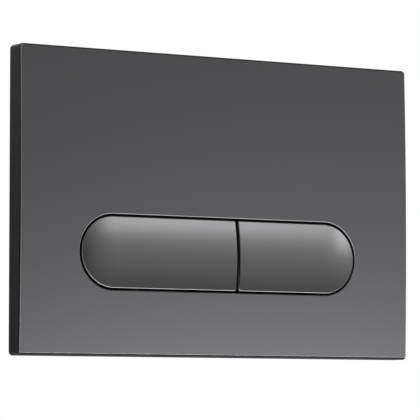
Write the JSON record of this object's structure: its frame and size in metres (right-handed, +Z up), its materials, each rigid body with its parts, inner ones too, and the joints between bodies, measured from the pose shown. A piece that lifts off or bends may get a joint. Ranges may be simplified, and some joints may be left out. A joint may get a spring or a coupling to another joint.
{
  "type": "flush button plate",
  "caption": "Wall plate for a concealed cistern with an obround opening, a long and a short pillow-shaped flush button, hinged above and returned by springs, and push rods behind.",
  "frame": {"origin": "centre of the plate's outline on the wall face, the back of its rim", "axes": "+X to the right seen from the room, +Y into the wall, +Z up"},
  "size_m": [0.246, 0.0762, 0.164],
  "materials": {
    "graphite_lacquer": "satin graphite lacquer on moulded ABS",
    "graphite_gloss": "glossier graphite metallic lacquer on moulded ABS",
    "black_abs": "fine moulded texture",
    "frame_abs": "fine moulded texture",
    "steel_pin": "ground bright",
    "spring_steel": "drawn bright",
    "pad_rubber": "matt",
    "zinc_steel": "bright zinc plated",
    "rod_nylon": "natural nylon",
    "cap_acetal": "moulded acetal",
    "nut_nylon": "natural nylon"
  },
  "bodies": {
    "plate": {"front_plate": "graphite_lacquer", "button_carrier": "black_abs", "full_hinge_pin": "steel_pin", "half_hinge_pin": "steel_pin", "full_return_springs": "spring_steel", "half_return_springs": "spring_steel", "stop_pads": "pad_rubber", "carrier_screws": "zinc_steel", "mounting_frame": "frame_abs", "retaining_clips": "spring_steel", "fixing_bolts": "zinc_steel", "fixing_washers": "zinc_steel", "fixing_nuts": "zinc_steel"},
    "full_button": {"full_flush_button": "graphite_gloss"},
    "half_button": {"half_flush_button": "graphite_gloss"},
    "full_rod": {"full_push_rod": "rod_nylon", "full_rod_cap": "cap_acetal", "full_rod_nut": "nut_nylon", "full_rod_ring": "steel_pin"},
    "half_rod": {"half_push_rod": "rod_nylon", "half_rod_cap": "cap_acetal", "half_rod_nut": "nut_nylon", "half_rod_ring": "steel_pin"}
  },
  "joints": [
    {"name": "full_press", "type": "hinge", "parent": "plate", "child": "full_button", "pos_m": [-0.028, -0.00646, -0.01387], "axis": [1, 0, 0], "range_deg": [0, 8], "stiffness_Nm_per_rad": 0.05, "springref_deg": -8.59, "deforming": ["full_return_springs"]},
    {"name": "full_rod_slide", "type": "slide", "parent": "plate", "child": "full_rod", "axis": [0, 1, 0], "range_m": [0, 0.00357]},
    {"name": "half_press", "type": "hinge", "parent": "plate", "child": "half_button", "pos_m": [0.046, -0.00646, -0.01387], "axis": [1, 0, 0], "range_deg": [0, 8], "stiffness_Nm_per_rad": 0.05, "springref_deg": -8.59, "deforming": ["half_return_springs"]},
    {"name": "half_rod_slide", "type": "slide", "parent": "plate", "child": "half_rod", "axis": [0, 1, 0], "range_m": [0, 0.00357]}
  ],
  "couplings": [
    {"joint": "full_rod_slide", "follows": "full_press", "m_per_rad": 0.0255},
    {"joint": "half_rod_slide", "follows": "half_press", "m_per_rad": 0.0255}
  ]
}
